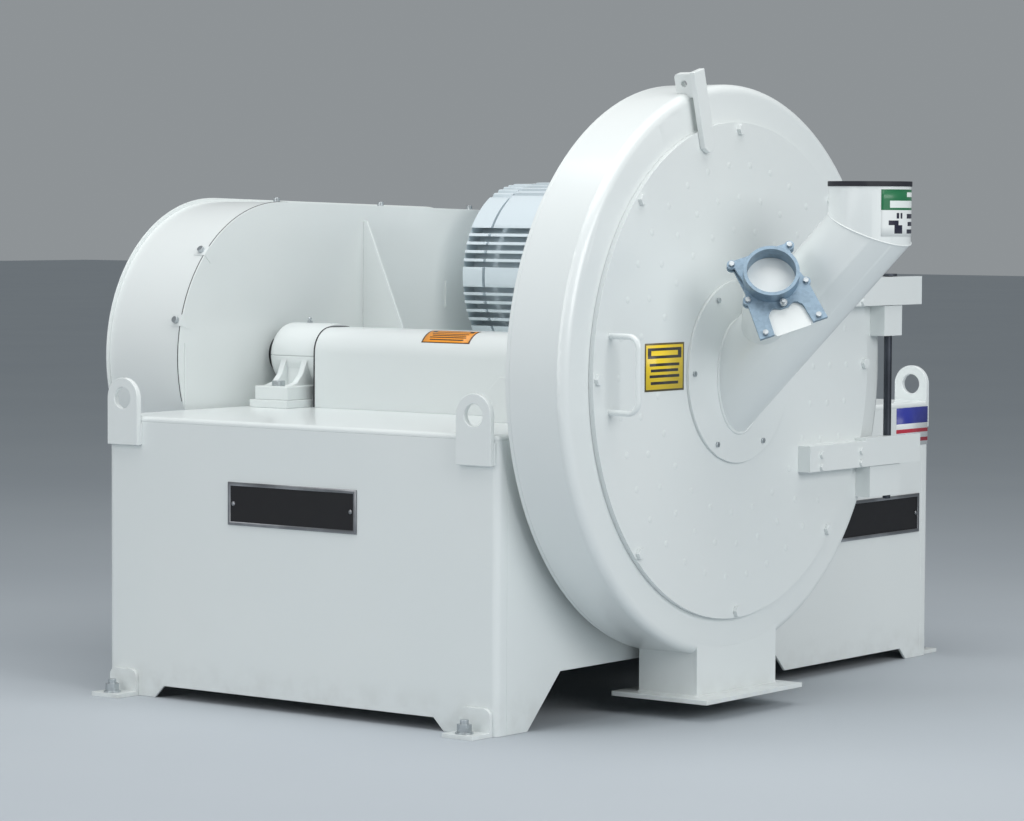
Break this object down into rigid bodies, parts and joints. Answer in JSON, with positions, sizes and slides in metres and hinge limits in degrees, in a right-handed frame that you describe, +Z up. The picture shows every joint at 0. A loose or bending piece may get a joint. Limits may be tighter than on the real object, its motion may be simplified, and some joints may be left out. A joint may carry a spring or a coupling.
{
  "type": "centrifugal impact mill",
  "caption": "Impact mill with a hinged round door, slanted feed spout, pin rotor on a guarded shaft, belt drive and motor on a sheet-metal base.",
  "frame": {"origin": "on the floor under the middle of the whole machine", "axes": "+Z up, +Y along the rotor shaft from the mill door to the belt guard, +X along the base from the mill to the motor"},
  "size_m": [1.66, 1.706, 1.2254],
  "materials": {
    "white_enamel": "gloss enamel",
    "zinc_steel": "zinc plated",
    "machined_steel": "machined",
    "grey_iron": "cast",
    "motor_paint": "semi-gloss paint",
    "gate_casting": "plated casting",
    "plate_metal": "satin",
    "black_edging": "matte",
    "belt_rubber": "matte",
    "fan_plastic": "matte"
  },
  "bodies": {
    "frame": {"base_top_plate": "white_enamel", "base_left_side": "white_enamel", "base_right_side": "white_enamel", "base_front_panel": "white_enamel", "base_rear_panel": "white_enamel", "base_stiffeners": "white_enamel", "lifting_lugs": "white_enamel", "foot_clips": "white_enamel", "anchor_studs": "zinc_steel", "anchor_nuts": "zinc_steel", "nameplates": "plate_metal", "housing_front_ring": "white_enamel", "housing_shell": "white_enamel", "housing_back_plate": "white_enamel", "shaft_seal": "machined_steel", "discharge_chute": "white_enamel", "discharge_flange": "white_enamel", "gusset_plates": "white_enamel", "lock_lug": "white_enamel", "hinge_knuckles": "white_enamel", "hinge_pin": "machined_steel", "bearing_risers": "white_enamel", "bearing_bases": "white_enamel", "bearing_caps": "white_enamel", "bearing_inserts": "machined_steel", "shaft_guard": "white_enamel", "belt_guard_front": "white_enamel", "belt_guard_band": "white_enamel", "belt_guard_back": "white_enamel", "belt_guard_clips": "zinc_steel", "drive_belts": "belt_rubber", "motor_frame": "motor_paint", "motor_terminal_box": "motor_paint", "motor_drive_bell": "motor_paint", "motor_fan_cowl": "motor_paint", "motor_slide_rails": "white_enamel", "mounting_bolts": "zinc_steel"},
    "rotor": {"rotor_shaft": "machined_steel", "rotor_disc": "machined_steel", "rotor_nut": "machined_steel", "rotor_pins": "machined_steel", "mill_sheave": "grey_iron"},
    "motor_rotor": {"motor_shaft": "machined_steel", "motor_sheave": "grey_iron", "motor_fan": "fan_plastic"},
    "door": {"door_plate": "white_enamel", "door_clamp_bolts": "white_enamel", "feed_plate": "white_enamel", "feed_spout": "white_enamel", "inlet_rim": "black_edging", "stator_pins": "machined_steel", "door_handle": "white_enamel", "lock_bar": "white_enamel", "hinge_arms": "white_enamel", "hinge_arm_bolts": "white_enamel", "gate_frame": "gate_casting", "gate_rear_plate": "gate_casting", "door_screws": "zinc_steel", "air_stub": "white_enamel"},
    "gate": {"gate_slide": "white_enamel"}
  },
  "joints": [
    {"name": "rotor_spin", "type": "hinge", "parent": "frame", "child": "rotor", "pos_m": [-0.236, 0, 0.656], "axis": [0, 1, 0], "continuous": true},
    {"name": "motor_spin", "type": "hinge", "parent": "frame", "child": "motor_rotor", "pos_m": [0.49, 0.3, 0.812], "axis": [0, 1, 0], "continuous": true},
    {"name": "door_swing", "type": "hinge", "parent": "frame", "child": "door", "pos_m": [0.297, -0.498, 0.656], "axis": [0, 0, 1], "range_deg": [0, 90]},
    {"name": "gate_travel", "type": "slide", "parent": "door", "child": "gate", "axis": [-0.1711, -0.5651, -0.8071], "range_m": [0, 0.09]}
  ],
  "couplings": [
    {"joint": "motor_spin", "follows": "rotor_spin", "ratio": 2.5}
  ]
}
